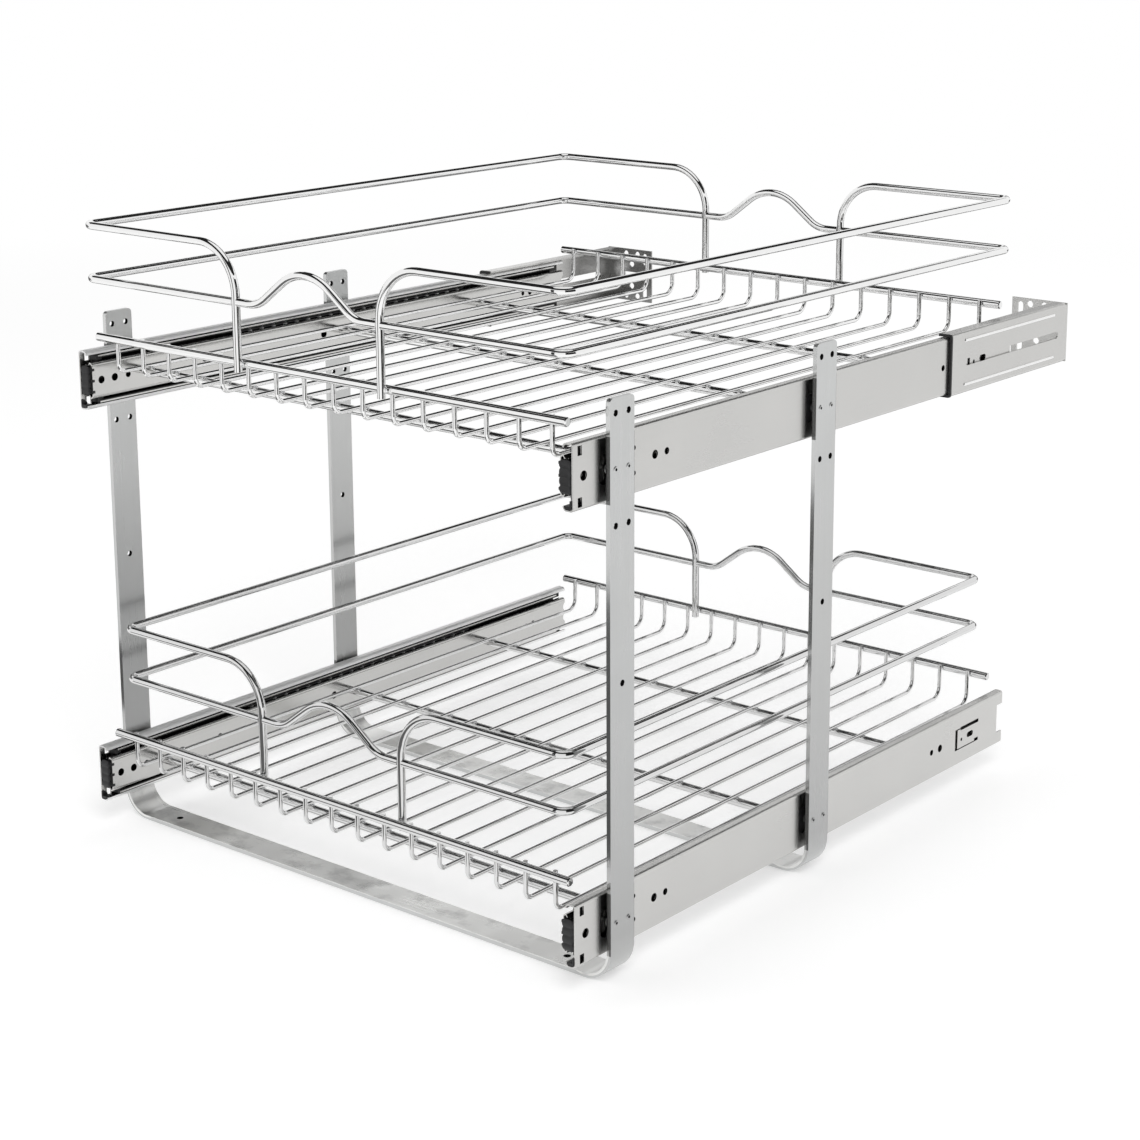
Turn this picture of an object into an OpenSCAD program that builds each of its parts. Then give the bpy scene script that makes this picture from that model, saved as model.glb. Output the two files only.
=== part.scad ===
// Pull out wire basket unit for a base cabinet: two wire baskets, one above the other,
// each on a pair of ball bearing slides, carried by two flat steel straps bent to a U.
// Millimetres. X runs across, Y from the front to the back, Z up from the cabinet floor.

/* [Straps] */
// Width over the outer faces of the legs
frame_w = 502; // [420:1:560]
// Height of the legs above the floor
leg_h = 409; // [400:1:440]
// Width of the flat strap
strap_w = 25.4; // [22:0.2:30]
// Thickness of the flat strap
strap_t = 3.4; // [2.5:0.1:4]
// Outer radius of the two lower bends
bend_r = 24; // [14:1:40]
// Distance between the front edges of the two straps
strap_pitch = 235; // [200:1:260]
// Gap between a leg and the slide beside it, filled by the rivet collars
strap_gap = 2.8; // [2:0.1:4]
// Diameter of the spare holes in the legs
leg_hole_d = 4.6; // [3:0.1:6]
// Diameter of the screw holes in the floor bars
floor_hole_d = 5.4; // [4:0.1:7]
// Distance between the screw holes of one floor bar
floor_hole_pitch = 403; // [300:1:420]

/* [Slides] */
// Length of the outer member
slide_len = 558.8; // [540:0.1:600]
// Height of the outer member
slide_h = 45.6; // [45:0.1:46]
// How far the slides stand out in front of the front strap
slide_lead = 29.8; // [24:0.1:40]
// Height of the lower slides' centre line
lower_z = 44.4; // [40:0.1:60]
// Height of the upper slides' centre line
upper_z = 361.4; // [300:0.1:370]
// Balls in each row of a cage
ball_count = 21; // [8:1:24]
// Distance from ball to ball
ball_pitch = 13; // [9:0.5:14]

/* [Baskets] */
// Wires in the floor of the upper basket
upper_wires = 16; // [8:1:20]
// Wires in the floor of the lower basket
lower_wires = 17; // [8:1:20]
// Diameter of the floor wires
floor_wire_d = 3.4; // [2.5:0.1:4]
// Diameter of the straight rods
rod_d = 6.6; // [5:0.1:8]
// Diameter of the rails and their posts
rail_d = 6; // [4:0.1:7]
// Distance between the front and the rear top rod
rod_span = 544.7; // [500:0.1:550]
// Height of the top rods above the slides' centre line
rod_rise = 33.5; // [28:0.1:40]
// Height of the lower rail above the slides' centre line
low_rail_rise = 78.8; // [60:0.1:90]
// Height of the upper rail above the slides' centre line
top_rail_rise = 119.2; // [112:0.1:130]
// Length of the straight slopes on both sides of the hump in the lower rail
hump_slope = 22; // [16:0.5:26]
// Distance of the posts from the middle
post_x = 71.3; // [60:0.1:90]
// Centre line radius where a post turns into the upper rail
post_bend_r = 36; // [20:1:50]

/* [Rear brackets] */
// Reach of the brackets behind the slides
bracket_reach = 82.2; // [40:0.1:110]
// Length of a bracket along the slide
bracket_len = 183.2; // [150:0.1:200]
// Thickness of the bracket sheet
bracket_t = 1.6; // [1.2:0.1:2]
// Width of the flange that turns in at the back
flange_w = 52; // [44:1:60]

/* [Hidden] */
$fn = 48;

eps = 0.02;

// places along Y, the whole length being centred on the origin
cushion_nose = 1.2;
slide_y = -(cushion_nose + slide_len + bracket_reach) / 2 + cushion_nose;
front_strap_y = slide_y + slide_lead;
rear_strap_y = front_strap_y + strap_pitch;
strap_ys = [front_strap_y, rear_strap_y];
rod_y = front_strap_y - 20;

// outer face of the slides
slide_x = frame_w / 2 - strap_t - strap_gap;

// strap holes, measured from the leg's middle and from the floor
leg_hole_offset = 6.7;
leg_hole_rows = [leg_h - 10, leg_h - 85.6];
leg_mid_hole_z = 214;
leg_corner_r = 3.5;
rivet_r = 1.6;
rivet_play = 0.1;
collar_r = 4.2;
rivet_head_r = 2.3;
rivet_head_h = 0.5;
rivet_hollow = 1.4;

// slide section, from the outer face inwards and from the centre line up
outer_t = 1.2;
outer_corner_r = 2.2;
ball_r = 1.85;
outer_ball_s = 5.6;
outer_ball_z = slide_h / 2 - 3.35;
outer_race_r = 2.15;
middle_t = 1.0;
middle_web_s = 2.7;
middle_corner_r = 1.8;
middle_h = 34.6;
middle_tip_s = 9.6;
middle_lip_h = 1.2;
drawer_t = 1.0;
drawer_s = 12.7;
inner_ball_s = 6.9;
inner_ball_z = 14.1;
inner_race_r = 2.15;
drawer_corner_r = 2.6;
drawer_h = 28;
drawer_tip_s = 5.2;
cage_t = 0.6;
outer_cage_s = 1.55;
outer_cage_tip = 8.2;
inner_cage_s = 4.05;
inner_cage_tip = 9.6;

// ends of the moving members, measured from the front of the outer member
middle_y = [11, 545.2];
drawer_y = [2, 554.1];
outer_cage_y = 140.6;
inner_cage_y = 149.5;
cage_len = (ball_count - 1) * ball_pitch + 12;

// plastic stop at the front of the middle member
stop_y = [8.8, 15];
stop_s = [middle_web_s, 9.4];
stop_z = [14.5, 18.2];
stop_web_t = 1.9;

// cut-outs of the outer member, measured from its front
mount_hole_y = 10.6;
mount_hole_r = 3.4;
square_hole_y = 6.8;
square_hole_z = 17.2;
square_hole = [4.4, 6.6];
seat_slot_y = [slide_lead + 1.5, slide_lead + 1.5 + strap_pitch];
seat_slot = [10.6, 20.8];
side_hole_y = slide_lead + 33;
side_hole_z = 8.6;
side_hole_r = 1.6;
outer_round_holes = [[85, 3.1], [97.8, 2.5], [448, 2.4], [460.8, 3.1]];
tongue_y = [484.4, 520.6];
tongue_z = [-9.6, 9.2];
rear_notch = [8.4, 24.2];

// cut-outs of the drawer member
drawer_round_holes = [[10.5, 3], [23.4, 3], [36.6, 2.4], [114.6, 2.6],
                      [245.6, 3.2], [497.6, 2], [507.4, 2.6], [518, 1.6]];

// bracket, measured from the outer face and the front of the outer member
bracket_gap = 0.3;
bracket_half_h = slide_h / 2 + bracket_gap + bracket_t;
bracket_y1 = slide_len + bracket_reach;
bracket_y0 = bracket_y1 - bracket_len;
bracket_lip = 9.6;
rib_z = 17.7;
rib_h = 0.7;
rib_r = 2;
rib_len = 141;
slot_h = 5.6;
sleeve_len = 1.8;
sleeve_t = 2.1;

// basket places
floor_rise = 7.6;
weld_sink = 0.3;
cross_rod_rise = floor_rise - floor_wire_d / 2 - rod_d / 2 + weld_sink;
wire_offset = rod_d / 2 + floor_wire_d / 2 - 0.5;
post_offset = rod_d / 2 + rail_d / 2 - 0.7;
half_rod = 232.6;
half_rail = 229.4;
wire_half_w = 215.5;
front_wire_bend_r = 6;
rear_wire_bend_r = 10;
rail_bend_r = 9;
post_foot = 5.5;
post_weld = 2.2;
cross_rod_ys = [front_strap_y + 16.5, front_strap_y + 229];
upper_rear_cross_y = front_strap_y + 394;
lower_rear_cross_y = front_strap_y + 403;
hump_low_r = 26;
hump_top_r = 39;

// ---------- helpers ----------

// one quarter of a ring, in the quadrant +X +Y
module quarter_ring(r, t) {
    intersection() {
        difference() {
            circle(r = r);
            circle(r = r - t);
        }
        square([r + 1, r + 1]);
    }
}

// extrudes a section drawn across the slide (X inwards is negative) from y0 to y1
module along_y(y0, y1) {
    translate([0, y1, 0])
        rotate([90, 0, 0])
            linear_extrude(height = y1 - y0)
                children();
}

// both halves of a section that is the same above and below the centre line
module both_halves() {
    for (k = [0, 1])
        mirror([0, k])
            children();
}

// puts something drawn for a right hand slide at one side (-1 left, 1 right) and height
module at_slide(side, z) {
    translate([0, slide_y, z])
        mirror([side < 0 ? 1 : 0, 0, 0])
            translate([slide_x, 0, 0])
                children();
}

// hole across the slide at y, z
module cross_hole(y, z, r) {
    translate([-drawer_s - 2, y, z])
        rotate([0, 90, 0])
            cylinder(r = r, h = drawer_s + 6);
}

// straight rod along X with chamfered ends
module rod_x(x0, x1, d) {
    c = 0.7;
    translate([x0, 0, 0])
        rotate([0, 90, 0]) {
            cylinder(r1 = d / 2 - c, r2 = d / 2, h = c);
            translate([0, 0, c])
                cylinder(r = d / 2, h = x1 - x0 - 2 * c);
            translate([0, 0, x1 - x0 - c])
                cylinder(r1 = d / 2, r2 = d / 2 - c, h = c);
        }
}

// wire bent the way a bending machine does it: each row of the table is
// [straight length, turn of the bending plane, bend angle, centre line radius]
module bent_wire(table, r, i = 0) {
    if (i < len(table)) {
        row = table[i];
        rotate([0, 90, 0])
            cylinder(r = r, h = row[0]);
        translate([row[0], 0, 0])
            rotate([row[1], 0, 0]) {
                if (row[2] > 0)
                    translate([0, row[3], 0])
                        rotate([0, 0, -90])
                            rotate_extrude(angle = row[2])
                                translate([row[3], 0])
                                    circle(r = r);
                translate([row[3] * sin(row[2]), row[3] * (1 - cos(row[2])), 0])
                    rotate([0, 0, row[2]])
                        bent_wire(table, r, i + 1);
            }
    }
}

// ---------- straps ----------

module strap_outline() {
    w = frame_w / 2;
    r = bend_r;
    for (k = [0, 1])
        mirror([k, 0]) {
            translate([w - strap_t, r])
                square([strap_t, leg_h - r]);
            translate([w - r, r])
                mirror([0, 1])
                    quarter_ring(r, strap_t);
        }
    translate([r - w, 0])
        square([2 * (w - r), strap_t]);
}

// what is cut from one leg: rounded top corners and holes, drawn for the right leg
module leg_cuts() {
    x = frame_w / 2 - strap_t - 1;
    for (k = [0, 1])
        translate([x, strap_w / 2, leg_h])
            mirror([0, k, 0])
                translate([0, strap_w / 2, 0])
                    rotate([0, 90, 0])
                        linear_extrude(height = strap_t + 2)
                            difference() {
                                translate([-1, -leg_corner_r])
                                    square([leg_corner_r + 1, leg_corner_r + 1]);
                                translate([leg_corner_r, -leg_corner_r])
                                    circle(r = leg_corner_r);
                            }
    for (z = leg_hole_rows, s = [-1, 1])
        translate([x, strap_w / 2 + s * leg_hole_offset, z])
            rotate([0, 90, 0])
                cylinder(d = leg_hole_d, h = strap_t + 2);
    translate([x, strap_w / 2, leg_mid_hole_z])
        rotate([0, 90, 0])
            cylinder(d = leg_hole_d, h = strap_t + 2);
    for (z = [lower_z, upper_z], s = [-1, 1])
        translate([x, strap_w / 2 + s * leg_hole_offset, z])
            rotate([0, 90, 0])
                cylinder(r = rivet_r, h = strap_t + 2);
}

module strap(y) {
    translate([0, y, 0])
        difference() {
            along_y(0, strap_w)
                strap_outline();
            leg_cuts();
            mirror([1, 0, 0])
                leg_cuts();
            for (s = [-1, 1])
                translate([s * floor_hole_pitch / 2, strap_w / 2, -1])
                    cylinder(d = floor_hole_d, h = strap_t + 2);
        }
}

module front_strap() {
    color("silver")
        strap(front_strap_y);
}

module rear_strap() {
    color("silver")
        strap(rear_strap_y);
}

// one rivet, drawn along X: shank through leg and slide web, collar in the gap, low head
// and the hollow in its end
module rivet() {
    head_x = strap_gap + strap_t;
    rotate([0, 90, 0])
        difference() {
            union() {
                translate([0, 0, -outer_t])
                    cylinder(r = rivet_r - rivet_play, h = outer_t + head_x);
                cylinder(r = collar_r, h = strap_gap);
                translate([0, 0, head_x])
                    cylinder(r1 = rivet_head_r, r2 = rivet_head_r - rivet_head_h, h = rivet_head_h);
            }
            translate([0, 0, head_x - rivet_hollow])
                cylinder(r = 1.05, h = rivet_hollow + rivet_head_h + 1);
        }
}

module strap_rivets() {
    color("gainsboro")
        for (side = [0, 1], y = strap_ys, z = [lower_z, upper_z], s = [-1, 1])
            mirror([side, 0, 0])
                translate([slide_x, y + strap_w / 2 + s * leg_hole_offset, z])
                    rivet();
}

// ---------- slides ----------

module outer_section() {
    translate([-outer_t, -slide_h / 2 + outer_corner_r])
        square([outer_t, slide_h - 2 * outer_corner_r]);
    both_halves() {
        translate([-outer_corner_r, slide_h / 2 - outer_corner_r])
            quarter_ring(outer_corner_r, outer_t);
        translate([-outer_ball_s, slide_h / 2 - outer_t])
            square([outer_ball_s - outer_corner_r, outer_t]);
        translate([-outer_ball_s, outer_ball_z])
            mirror([1, 0])
                quarter_ring(outer_race_r + outer_t, outer_t);
    }
}

module outer_member(side, z) {
    at_slide(side, z)
        difference() {
            along_y(0, slide_len)
                outer_section();
            cross_hole(mount_hole_y, 0, mount_hole_r);
            for (k = [-1, 1])
                translate([-2, square_hole_y - square_hole[0] / 2,
                           k * square_hole_z - square_hole[1] / 2])
                    cube([3, square_hole[0], square_hole[1]]);
            for (y = seat_slot_y)
                seat_slot_cut(y);
            for (k = [-1, 1])
                cross_hole(side_hole_y, k * side_hole_z, side_hole_r);
            for (h = outer_round_holes)
                cross_hole(h[0], 0, h[1]);
            for (y = [slide_lead, slide_lead + strap_pitch], s = [-1, 1])
                cross_hole(y + strap_w / 2 + s * leg_hole_offset, 0, rivet_r);
            tongue_cuts();
            translate([-2, slide_len - rear_notch[0], -rear_notch[1] / 2])
                cube([3, rear_notch[0] + 1, rear_notch[1]]);
        }
}

// upright slot with round ends beside each strap
module seat_slot_cut(y) {
    r = seat_slot[0] / 2;
    l = seat_slot[1] / 2 - r;
    translate([-2, y, 0])
        rotate([0, 90, 0])
            linear_extrude(height = 3) {
                translate([-l, -r])
                    square([2 * l, 2 * r]);
                translate([-l, 0])
                    circle(r = r);
                translate([l, 0])
                    circle(r = r);
            }
}

// cuts that free the locking tongue near the back of the web, and its two holes
module tongue_cuts() {
    y0 = tongue_y[0];
    y1 = tongue_y[1];
    z0 = tongue_z[0];
    z1 = tongue_z[1];
    translate([-2, y0 + 8, z1 - 2.9])
        cube([3, y1 - y0 - 8, 2.9]);
    translate([-2, y0, z1 - 1.7])
        cube([3, 9, 1]);
    translate([-2, y0, z0])
        cube([3, 3.6, z1 - 0.7 - z0]);
    translate([-2, y0, z0])
        cube([3, y1 - y0, 0.9]);
    translate([-2, y1 - 6, z0])
        cube([3, 6, 2.8]);
    translate([-2, y0 + 20.6, -2.9])
        cube([3, 5, 4.6]);
    for (y = [y0 + 20.6, y0 + 25.6])
        cross_hole(y, -0.6, 2.3);
    cross_hole(y0 + 9.8, -1.8, 1.4);
}

module middle_section() {
    h = middle_h / 2;
    translate([-middle_web_s - middle_t, -h + middle_corner_r])
        square([middle_t, middle_h - 2 * middle_corner_r]);
    both_halves() {
        translate([-middle_web_s - middle_corner_r, h - middle_corner_r])
            quarter_ring(middle_corner_r, middle_t);
        translate([-middle_tip_s, h - middle_t])
            square([middle_tip_s - middle_web_s - middle_corner_r, middle_t]);
        translate([-middle_tip_s, h - eps])
            square([middle_t, middle_lip_h]);
    }
}

module middle_member(side, z) {
    at_slide(side, z)
        difference() {
            along_y(middle_y[0], middle_y[1])
                middle_section();
            for (y = [middle_y[0] + 40 : 80 : middle_y[1] - 40])
                cross_hole(y, 0, 5);
        }
}

// plastic stop that closes the front of the middle member, with a plug inside its channel
module middle_stop(side, z) {
    web_s = middle_web_s + middle_t;
    at_slide(side, z) {
        along_y(stop_y[0], middle_y[0]) {
            translate([-stop_s[0] - stop_web_t, -stop_z[0] - 0.5])
                square([stop_web_t, 2 * stop_z[0] + 1]);
            both_halves()
                translate([-stop_s[1], stop_z[0]])
                    square([stop_s[1] - stop_s[0], stop_z[1] - stop_z[0]]);
        }
        along_y(middle_y[0] - 1, stop_y[1]) {
            translate([-stop_s[0] - stop_web_t, -15.4])
                square([stop_s[0] + stop_web_t - web_s, 30.8]);
            both_halves()
                translate([-8.4, stop_z[0]])
                    square([8.4 - web_s - 0.8, middle_h / 2 - middle_t - stop_z[0]]);
        }
    }
}

module drawer_section() {
    h = drawer_h / 2;
    r = drawer_corner_r;
    ring = inner_race_r + drawer_t;
    translate([-drawer_s, -h + r])
        square([drawer_t, drawer_h - 2 * r]);
    both_halves() {
        translate([-drawer_s + r, h - r])
            mirror([1, 0])
                quarter_ring(r, drawer_t);
        translate([-drawer_s + r - eps, h - drawer_t])
            square([drawer_s - r - inner_ball_s - inner_race_r, drawer_t]);
        intersection() {
            translate([-inner_ball_s, inner_ball_z])
                difference() {
                    circle(r = ring);
                    circle(r = inner_race_r);
                }
            translate([-inner_ball_s - ring - 1, 0])
                square([inner_ball_s + ring + 1 - drawer_tip_s, h]);
        }
    }
}

module drawer_member(side, z) {
    at_slide(side, z)
        difference() {
            along_y(drawer_y[0], drawer_y[1])
                drawer_section();
            for (h = drawer_round_holes)
                cross_hole(h[0], 0, h[1]);
            for (k = [-1, 1])
                cross_hole(drawer_y[1] + 2, k * 5.2, 4.4);
        }
}

// strip with a row of ball windows, its bottom face at z0, from s0 to s1
module cage_wing(s0, s1, z0, ball_s) {
    difference() {
        translate([-s1, 0, z0])
            cube([s1 - s0, cage_len, cage_t]);
        for (i = [0 : ball_count - 1])
            translate([-ball_s, 6 + i * ball_pitch, z0 - 1])
                cylinder(r = ball_r + 0.15, h = cage_t + 2);
    }
}

// channel shaped ball cage: a web between the members and a wing at each ball row
module cage(s0, s1, wing_z, ball_s) {
    translate([-s0 - cage_t, 0, -wing_z])
        cube([cage_t, cage_len, 2 * wing_z]);
    for (k = [0, 1])
        mirror([0, 0, k])
            cage_wing(s0, s1, wing_z - cage_t, ball_s);
}

module outer_cage(side, z) {
    at_slide(side, z)
        translate([0, outer_cage_y, 0])
            cage(outer_cage_s, outer_cage_tip, outer_ball_z - 0.5, outer_ball_s);
}

module inner_cage(side, z) {
    at_slide(side, z)
        translate([0, inner_cage_y, 0])
            cage(inner_cage_s, inner_cage_tip, inner_ball_z + 1.4, inner_ball_s);
}

module ball_rows(side, z, y0, ball_s, ball_z) {
    at_slide(side, z)
        for (i = [0 : ball_count - 1], k = [-1, 1])
            translate([-ball_s, y0 + 6 + i * ball_pitch, k * ball_z])
                sphere(r = ball_r, $fn = 24);
}

// plastic cushion that closes the front end of a drawer member: four round ribs that turn
// the corner, a block behind them, a plug and three small hooks over the member's edge
module cushion(side, z) {
    rib_r = 3;
    turn_r = 3.4;
    rib_y = rib_r - cushion_nose;
    at_slide(side, z) {
        intersection() {
            for (k = [-1.5 : 1 : 1.5])
                translate([-1.6, rib_y, k * 5.7])
                    rotate([0, 180, 0])
                        bent_wire([[3.4, 0, 90, turn_r], [0.5, 0, 0, 0]], rib_r);
            translate([-20, -5, -20])
                cube([30, 4.8 + drawer_y[0], 40]);
        }
        translate([-10.2, 0.1, -10.6])
            cube([8.6, drawer_y[0] - 0.1, 21.2]);
        translate([drawer_t - drawer_s, drawer_y[0] - eps, -10.4])
            cube([6.2, 7.5, 20.8]);
        for (k = [-1 : 1]) {
            translate([-drawer_s - 0.6, 0.8, k * 8.6 - 1.3])
                cube([3.6, drawer_y[0] - 0.8, 2.6]);
            translate([-drawer_s - 0.6, drawer_y[0] - 0.1, k * 8.6 - 1.3])
                cube([0.6, 2.3, 2.6]);
        }
    }
}

module cylinder_y(r, h) {
    rotate([-90, 0, 0])
        cylinder(r = r, h = h);
}

// small plastic wedges in the lower flange at the front of each outer member
module retainer(side, z) {
    floor_z = outer_t - slide_h / 2;
    at_slide(side, z)
        intersection() {
            along_y(-0.8, 4.2)
                polygon([[-outer_corner_r, floor_z], [-outer_ball_s, floor_z], [-7.2, floor_z + 1],
                         [-7.2, floor_z + 2.8], [-2.4, floor_z + 2.8], [-2.4, floor_z + 6.4],
                         [-1.3, floor_z + 6.4], [-1.3, floor_z + 1]]);
            translate([-9, 0, floor_z - 1])
                rotate([90, 0, 90])
                    linear_extrude(height = 8)
                        polygon([[-2, 0], [5, 0], [5, 4], [0.6, 8], [-2, 8]]);
        }
}

module slide_retainers() {
    color("black")
        for (side = [-1, 1], z = [lower_z, upper_z])
            retainer(side, z);
}

// ---------- rear brackets ----------

module bracket_section() {
    h = bracket_half_h;
    r = 2.6;
    translate([bracket_gap, -h + r])
        square([bracket_t, 2 * (h - r)]);
    both_halves() {
        translate([bracket_gap + bracket_t - r, h - r])
            quarter_ring(r, bracket_t);
        translate([-bracket_lip, h - bracket_t])
            square([bracket_lip + bracket_gap + bracket_t - r, bracket_t]);
    }
}

module bracket(side) {
    face = bracket_gap + bracket_t;
    at_slide(side, upper_z)
        difference() {
            union() {
                along_y(bracket_y0, bracket_y1 - 1)
                    bracket_section();
                translate([face - flange_w, bracket_y1 - bracket_t, -bracket_half_h])
                    cube([flange_w, bracket_t, 2 * bracket_half_h]);
                for (k = [-1, 1])
                    translate([face, bracket_y0 + 20, k * rib_z])
                        bracket_rib();
            }
            bracket_slot();
            flange_holes(face - flange_w);
        }
}

// round backed rib pressed out of the bracket's side, with round ends
module bracket_rib() {
    intersection() {
        translate([rib_h - rib_r, 0, 0]) {
            cylinder_y(rib_r, rib_len);
            for (y = [0, rib_len])
                translate([0, y, 0])
                    sphere(r = rib_r);
        }
        translate([-0.1, -rib_r - 1, -rib_r - 1])
            cube([rib_h + 1, rib_len + 2 * rib_r + 2, 2 * rib_r + 2]);
    }
}

// long slot in the side of the bracket, through which the slide can be seen
module bracket_slot() {
    y0 = bracket_y0 + 23.5;
    l = 142;
    translate([-1, y0, -slot_h / 2])
        cube([4, l, slot_h]);
    for (y = [y0, y0 + l])
        translate([-1, y, 0])
            rotate([0, 90, 0])
                cylinder(d = slot_h, h = 4);
}

// holes of the rear flange, measured from its free edge: six round holes, an upright slot
// above and below near the edge and one window in the middle
module flange_holes(x0) {
    y = bracket_y1 - bracket_t - 1;
    d = bracket_t + 2;
    for (h = flange_holes_at, k = [-1, 1])
        translate([x0 + h[0], y, k * h[1]])
            cylinder_y(flange_hole_r, d);
    for (k = [-1, 1])
        translate([x0 + 8, y, k * 16]) {
            translate([-2.6, 0, -3])
                cube([5.2, d, 6]);
            for (j = [-1, 1])
                translate([0, 0, 3 * j])
                    cylinder_y(2.6, d);
        }
    translate([x0 + 14.5, y, -2.8])
        cube([17.5, d, 5.6]);
}

flange_holes_at = [[17, 20], [30.6, 20], [23.8, 10.5]];
flange_hole_r = 2.9;

// plastic sleeve on the front edge of a bracket, wrapping the slide
module sleeve_section() {
    h = bracket_half_h + 0.4;
    r = 2.4;
    translate([bracket_gap, -h + r])
        square([sleeve_t, 2 * (h - r)]);
    both_halves() {
        translate([bracket_gap + sleeve_t - r, h - r])
            quarter_ring(r, sleeve_t - 0.1);
        translate([-bracket_lip, h - sleeve_t + 0.1])
            square([bracket_lip + bracket_gap + sleeve_t - r, sleeve_t - 0.1]);
    }
}

module sleeve(side) {
    at_slide(side, upper_z)
        along_y(bracket_y0 - sleeve_len, bracket_y0)
            sleeve_section();
}

// ---------- baskets ----------

// floor wires: each turns up at both ends and is welded inside the two top rods
module floor_wires(z, count) {
    up = rod_rise + 2.4 - floor_rise;
    flat = rod_span - 2 * wire_offset - front_wire_bend_r - rear_wire_bend_r;
    table = [
        [up - front_wire_bend_r, 0, 90, front_wire_bend_r],
        [flat, 0, 90, rear_wire_bend_r],
        [up - rear_wire_bend_r, 0, 0, 0]
    ];
    for (i = [0 : count - 1])
        translate([-wire_half_w + 2 * wire_half_w * i / (count - 1),
                   rod_y + wire_offset, z + rod_rise + 2.4])
            rotate([0, 90, 0])
                bent_wire(table, floor_wire_d / 2);
}

// rods under the floor wires, welded at both ends to the drawer members
module cross_rods(z, ys) {
    half = slide_x - drawer_s + weld_sink;
    for (y = ys)
        translate([0, y, z + cross_rod_rise])
            rotate([0, 90, 0])
                translate([0, 0, -half])
                    cylinder(d = rod_d, h = 2 * half);
}

module top_rod(y, z) {
    translate([0, y, z + rod_rise])
        rod_x(-half_rod, half_rod, rod_d);
}

// out is 1 where the posts stand outside the top rods and -1 where they stand inside
function rail_y(out) = rod_y - out * post_offset;
function rail_depth(out) = rod_span + 2 * out * post_offset;
function rail_half(out) = half_rail + out * post_offset;

// one upper rail: front post, turn, corner, side, corner, turn, rear post
module top_rail(z, out) {
    foot = z + rod_rise - post_foot;
    post = z + top_rail_rise - post_bend_r - foot;
    arm = rail_half(out) - rail_bend_r - post_x - post_bend_r;
    side = rail_depth(out) - 2 * rail_bend_r;
    table = [
        [post, 0, 90, post_bend_r],
        [arm, -90, 90, rail_bend_r],
        [side, 0, 90, rail_bend_r],
        [arm, 90, 90, post_bend_r],
        [post, 0, 0, 0]
    ];
    translate([-post_x, rail_y(out), foot])
        rotate([0, -90, 0])
            rotate([90, 0, 0])
                bent_wire(table, rail_d / 2);
}

// the two U shaped side pieces of the lower rail, butted to the posts
module side_rails(z, out) {
    arm = rail_half(out) - rail_bend_r - post_x - post_weld;
    side = rail_depth(out) - 2 * rail_bend_r;
    table = [[arm, 0, 90, rail_bend_r], [side, 0, 90, rail_bend_r], [arm, 0, 0, 0]];
    for (k = [0, 1])
        mirror([k, 0, 0])
            translate([-post_x - post_weld, rail_y(out), z + low_rail_rise])
                rotate([0, 180, 0])
                    bent_wire(table, rail_d / 2);
}

// sector of a bend, from the lowest point up to a slope of 3 in 4
module slope_bend(bend, r) {
    k = 2 * bend;
    intersection() {
        rotate_extrude()
            translate([bend, 0])
                circle(r = r);
        translate([0, 0, -r - 1])
            linear_extrude(height = 2 * r + 2)
                polygon([[0, 0], [0, -k], [-0.75 * k, -k]]);
    }
}

// one hump, drawn in the XY plane: the slopes rise 3 in 4, so they climb 0.6 of their length
module hump_wire(r) {
    rise = 0.2 * (hump_low_r + hump_top_r) + 0.6 * hump_slope;
    foot = 0.6 * (hump_low_r + hump_top_r) + 0.8 * hump_slope;
    for (k = [0, 1])
        mirror([k, 0, 0]) {
            translate([foot, 0, 0])
                rotate([0, 90, 0])
                    cylinder(r = r, h = post_x - post_weld - foot);
            translate([foot, hump_low_r, 0])
                slope_bend(hump_low_r, r);
            translate([foot - 0.6 * hump_low_r, 0.2 * hump_low_r, 0])
                rotate([0, 0, 180 - atan2(3, 4)])
                    rotate([0, 90, 0])
                        cylinder(r = r, h = hump_slope);
        }
    translate([0, rise - hump_top_r, 0])
        for (k = [0, 1])
            mirror([k, 0, 0])
                rotate([0, 0, 180])
                    slope_bend(hump_top_r, r);
}

// the humped pieces of the lower rail between the posts, one in front and one behind
module hump_wires(z, out) {
    for (y = [rail_y(out), rail_y(out) + rail_depth(out)])
        translate([0, y, z + low_rail_rise])
            rotate([90, 0, 0])
                hump_wire(rail_d / 2);
}

// ---------- nodes ----------

module upper_left_outer_member() { color("lightgrey") outer_member(-1, upper_z); }
module upper_right_outer_member() { color("lightgrey") outer_member(1, upper_z); }
module lower_left_outer_member() { color("lightgrey") outer_member(-1, lower_z); }
module lower_right_outer_member() { color("lightgrey") outer_member(1, lower_z); }

module upper_left_middle_member() { color("darkgrey") middle_member(-1, upper_z); }
module upper_right_middle_member() { color("darkgrey") middle_member(1, upper_z); }
module lower_left_middle_member() { color("darkgrey") middle_member(-1, lower_z); }
module lower_right_middle_member() { color("darkgrey") middle_member(1, lower_z); }

module upper_left_middle_stop() { color("black") middle_stop(-1, upper_z); }
module upper_right_middle_stop() { color("black") middle_stop(1, upper_z); }
module lower_left_middle_stop() { color("black") middle_stop(-1, lower_z); }
module lower_right_middle_stop() { color("black") middle_stop(1, lower_z); }

module upper_left_drawer_member() { color("gainsboro") drawer_member(-1, upper_z); }
module upper_right_drawer_member() { color("gainsboro") drawer_member(1, upper_z); }
module lower_left_drawer_member() { color("gainsboro") drawer_member(-1, lower_z); }
module lower_right_drawer_member() { color("gainsboro") drawer_member(1, lower_z); }

module upper_left_outer_cage() { color("dimgray") outer_cage(-1, upper_z); }
module upper_right_outer_cage() { color("dimgray") outer_cage(1, upper_z); }
module lower_left_outer_cage() { color("dimgray") outer_cage(-1, lower_z); }
module lower_right_outer_cage() { color("dimgray") outer_cage(1, lower_z); }

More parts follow.
